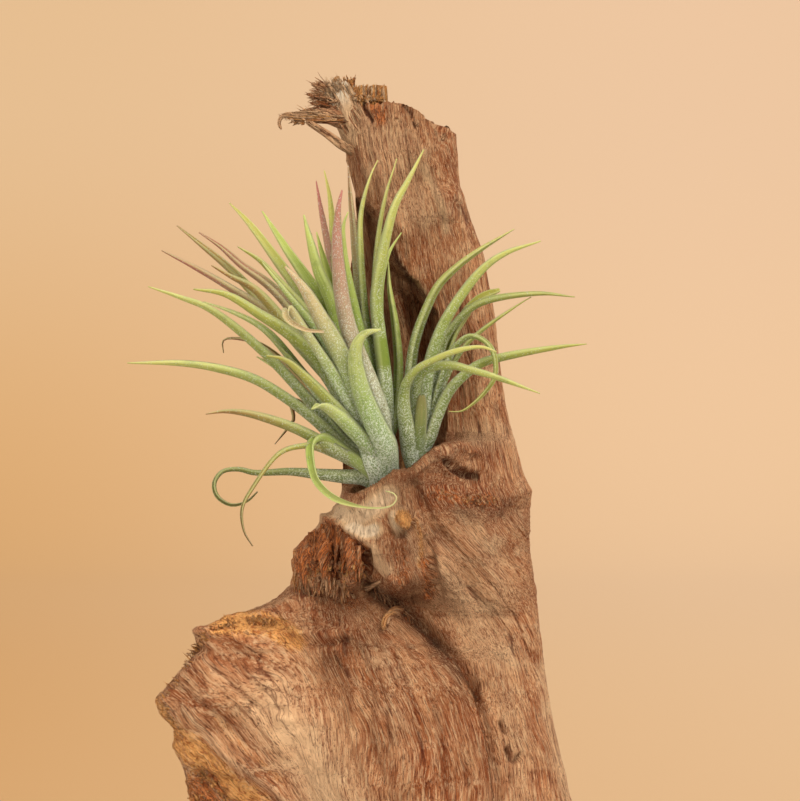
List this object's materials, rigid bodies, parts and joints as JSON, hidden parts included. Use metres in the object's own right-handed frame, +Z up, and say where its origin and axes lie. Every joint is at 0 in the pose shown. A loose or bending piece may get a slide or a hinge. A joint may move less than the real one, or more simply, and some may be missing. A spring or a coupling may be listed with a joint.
{
  "type": "air plant on driftwood",
  "caption": "Air plant with narrow channelled leaves in joined rosettes, seated in the pit of a weathered driftwood trunk with a flared foot, a torn ledge and a frayed top.",
  "frame": {"origin": "on the surface the wood stands on, in the middle of its front view, at the base mount", "axes": "+Z up along the wood, +X to the viewer's right, -Y towards the viewer"},
  "size_m": [0.1297, 0.0748, 0.2254],
  "materials": {
    "driftwood": "weathered bare driftwood, pinkish tan with dark grain lines and rust-orange torn faces",
    "silver_leaf": "soft leaf, silver scurf at the base fading to yellow-green, some pink and brown tips",
    "green_leaf": "soft leaf, olive and yellow-green with silver specks and pale edges"
  },
  "bodies": {
    "root": {"driftwood": "driftwood", "rosette_main": "silver_leaf", "rosette_side": "green_leaf"}
  },
  "joints": []
}
